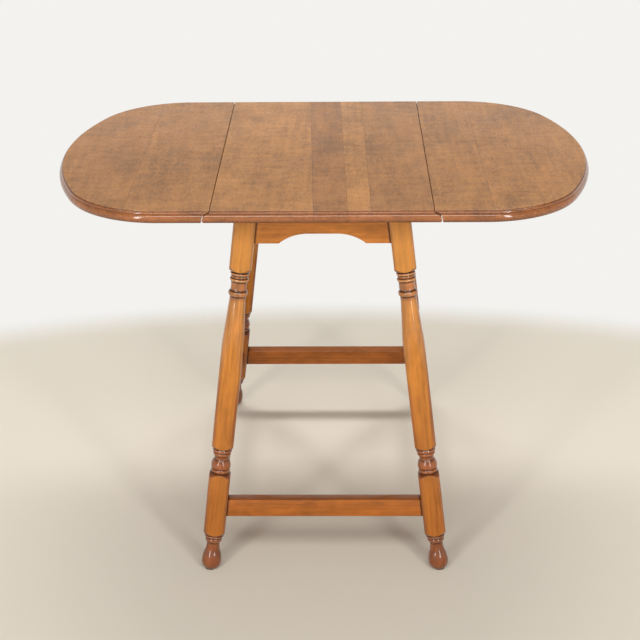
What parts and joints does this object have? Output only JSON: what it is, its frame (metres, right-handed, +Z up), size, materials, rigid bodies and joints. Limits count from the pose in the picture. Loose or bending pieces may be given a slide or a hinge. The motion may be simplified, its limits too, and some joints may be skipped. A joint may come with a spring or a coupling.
{
  "type": "pembroke table",
  "caption": "Small drop-leaf table: rounded leaves on rule joints, moulded edge, splayed turned legs joined by aprons and stretchers, folding stays under the leaves.",
  "frame": {"origin": "on the floor, under the middle of the top", "axes": "+Z up; +X to the right along the opened leaves; +Y to the back, along the hinge seams"},
  "size_m": [0.909, 0.6348, 0.66],
  "materials": {
    "top_wood": "lacquered maple, brown",
    "leg_wood": "lacquered maple, honey",
    "apron_wood": "lacquered maple, honey",
    "stretcher_wood": "lacquered maple, red brown",
    "block_wood": "bare secondary wood",
    "hinge_brass": "dull",
    "stay_steel": "zinc plated",
    "screw_steel": "dull"
  },
  "bodies": {
    "frame": {"apron_back": "apron_wood", "apron_front": "apron_wood", "apron_left": "apron_wood", "apron_right": "apron_wood", "centre_board_1": "top_wood", "centre_board_2": "top_wood", "centre_board_3": "top_wood", "centre_board_4": "top_wood", "corner_block_back_left": "block_wood", "corner_block_back_right": "block_wood", "corner_block_front_left": "block_wood", "corner_block_front_right": "block_wood", "corner_block_screws": "screw_steel", "hinge_pins": "hinge_brass", "hinge_top_flap_left_back": "hinge_brass", "hinge_top_flap_left_front": "hinge_brass", "hinge_top_flap_right_back": "hinge_brass", "hinge_top_flap_right_front": "hinge_brass", "hinge_top_screws": "screw_steel", "left_rail_bracket": "stay_steel", "left_rail_rivet": "stay_steel", "leg_back_left": "leg_wood", "leg_back_right": "leg_wood", "leg_front_left": "leg_wood", "leg_front_right": "leg_wood", "right_rail_bracket": "stay_steel", "right_rail_rivet": "stay_steel", "stay_rail_screws": "screw_steel", "stretcher_back": "stretcher_wood", "stretcher_front": "stretcher_wood", "stretcher_left": "stretcher_wood", "stretcher_right": "stretcher_wood", "top_fixing_screws": "screw_steel"},
    "left_leaf": {"hinge_leaf_flap_left_back": "hinge_brass", "hinge_leaf_flap_left_front": "hinge_brass", "left_hinge_screws": "screw_steel", "left_leaf_bracket": "stay_steel", "left_leaf_inner_board": "top_wood", "left_leaf_outer_board": "top_wood", "left_leaf_rivet": "stay_steel", "left_stay_screws": "screw_steel"},
    "right_leaf": {"hinge_leaf_flap_right_back": "hinge_brass", "hinge_leaf_flap_right_front": "hinge_brass", "right_hinge_screws": "screw_steel", "right_leaf_bracket": "stay_steel", "right_leaf_inner_board": "top_wood", "right_leaf_outer_board": "top_wood", "right_leaf_rivet": "stay_steel", "right_stay_screws": "screw_steel"},
    "left_arm": {"left_elbow_rivet": "stay_steel", "left_stay_arm": "stay_steel"},
    "left_link": {"left_stay_link": "stay_steel"},
    "right_arm": {"right_elbow_rivet": "stay_steel", "right_stay_arm": "stay_steel"},
    "right_link": {"right_stay_link": "stay_steel"}
  },
  "joints": [
    {"name": "left_leaf_drop", "type": "hinge", "parent": "frame", "child": "left_leaf", "pos_m": [-0.1745, 0, 0.644], "axis": [0, -1, 0], "range_deg": [0, 90]},
    {"name": "left_arm_swing", "type": "hinge", "parent": "frame", "child": "left_arm", "pos_m": [-0.1585, 0, 0.622], "axis": [0, -1, 0], "range_deg": [0, 90]},
    {"name": "left_link_swing", "type": "hinge", "parent": "left_arm", "child": "left_link", "pos_m": [-0.2685, 0, 0.608], "axis": [0, -1, 0], "range_deg": [-90, 0]},
    {"name": "right_leaf_drop", "type": "hinge", "parent": "frame", "child": "right_leaf", "pos_m": [0.1745, 0, 0.644], "axis": [0, 1, 0], "range_deg": [0, 90]},
    {"name": "right_arm_swing", "type": "hinge", "parent": "frame", "child": "right_arm", "pos_m": [0.1585, 0, 0.622], "axis": [0, 1, 0], "range_deg": [0, 90]},
    {"name": "right_link_swing", "type": "hinge", "parent": "right_arm", "child": "right_link", "pos_m": [0.2685, 0, 0.608], "axis": [0, 1, 0], "range_deg": [-90, 0]}
  ],
  "couplings": [
    {"joint": "left_arm_swing", "follows": "left_leaf_drop", "ratio": 1},
    {"joint": "left_link_swing", "follows": "left_leaf_drop", "ratio": -1},
    {"joint": "right_arm_swing", "follows": "right_leaf_drop", "ratio": 1},
    {"joint": "right_link_swing", "follows": "right_leaf_drop", "ratio": -1}
  ]
}
